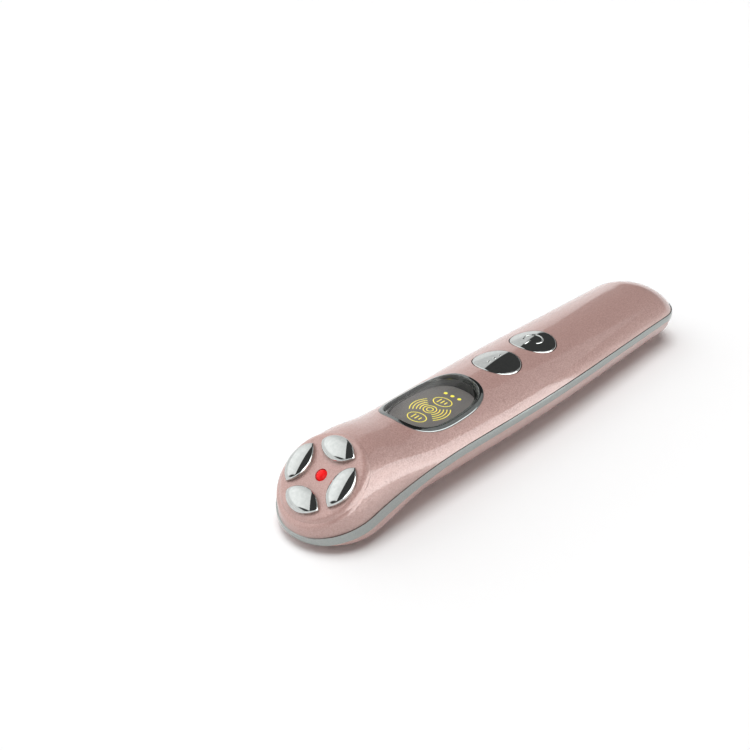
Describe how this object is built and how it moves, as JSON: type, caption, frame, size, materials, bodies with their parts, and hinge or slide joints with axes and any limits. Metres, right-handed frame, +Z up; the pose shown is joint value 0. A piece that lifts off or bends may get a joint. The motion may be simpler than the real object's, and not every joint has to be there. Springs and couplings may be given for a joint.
{
  "type": "eye massager",
  "caption": "Slim handheld eye massager with a slanted head carrying almond-shaped electrodes round a red lamp, a chrome trim band, a curved display window and sprung press buttons.",
  "frame": {"origin": "centre of the footprint, on the surface that the massager lies on", "axes": "+X from the charging end to the electrode head, +Y to the left of the head, +Z up out of the button side"},
  "size_m": [0.168, 0.0318, 0.0206],
  "materials": {
    "pearl": "rose pearl metallic paint under clear coat",
    "chrome": "mirror plated",
    "smoke": "smoked clear plastic, polished",
    "dark_print": "printed film, satin",
    "white_plastic": "moulded, matt",
    "amber_lamp": "lamp body, clear",
    "red_lamp": "red lamp, polished",
    "board_green": "circuit board with solder resist",
    "steel": "bright steel",
    "black_plastic": "moulded, matt",
    "cell_foil": "foil pouch, satin",
    "soft_black": "soft rubber, matt",
    "lead_sleeve": "soft sleeve",
    "film": "flat flexible film"
  },
  "bodies": {
    "housing": {"top_shell": "pearl", "bottom_shell": "pearl", "trim_band": "chrome", "display_bezel": "chrome", "display_lens": "smoke", "display_mask": "dark_print", "display_frame": "white_plastic", "display_leds": "amber_lamp", "mode_switch": "black_plastic", "power_switch": "black_plastic", "electrode_front": "chrome", "electrode_left": "chrome", "electrode_rear": "chrome", "electrode_right": "chrome", "electrode_nuts": "steel", "head_board": "board_green", "led_chip": "white_plastic", "led_lens": "red_lamp", "main_board": "board_green", "board_screws": "steel", "control_chip": "black_plastic", "boost_coil": "black_plastic", "port_shell": "steel", "port_tongue": "black_plastic", "battery_cell": "cell_foil", "battery_foam": "soft_black", "motor_can": "steel", "motor_holder": "soft_black", "battery_leads": "lead_sleeve", "motor_leads": "lead_sleeve", "head_ribbon": "film"},
    "mode_key": {"mode_button": "chrome", "mode_stem": "white_plastic"},
    "power_key": {"power_button": "chrome", "power_stem": "white_plastic"},
    "rotor": {"motor_shaft": "steel", "motor_weight": "steel"}
  },
  "joints": [
    {"name": "mode_press", "type": "slide", "parent": "housing", "child": "mode_key", "axis": [0, 0, -1], "range_m": [0, 0.0005], "stiffness_N_per_m": 1500},
    {"name": "power_press", "type": "slide", "parent": "housing", "child": "power_key", "axis": [0, 0, -1], "range_m": [0, 0.0005], "stiffness_N_per_m": 1500},
    {"name": "motor_spin", "type": "hinge", "parent": "housing", "child": "rotor", "pos_m": [0.0455, 0, 0.0052], "axis": [1, 0, 0], "continuous": true}
  ]
}
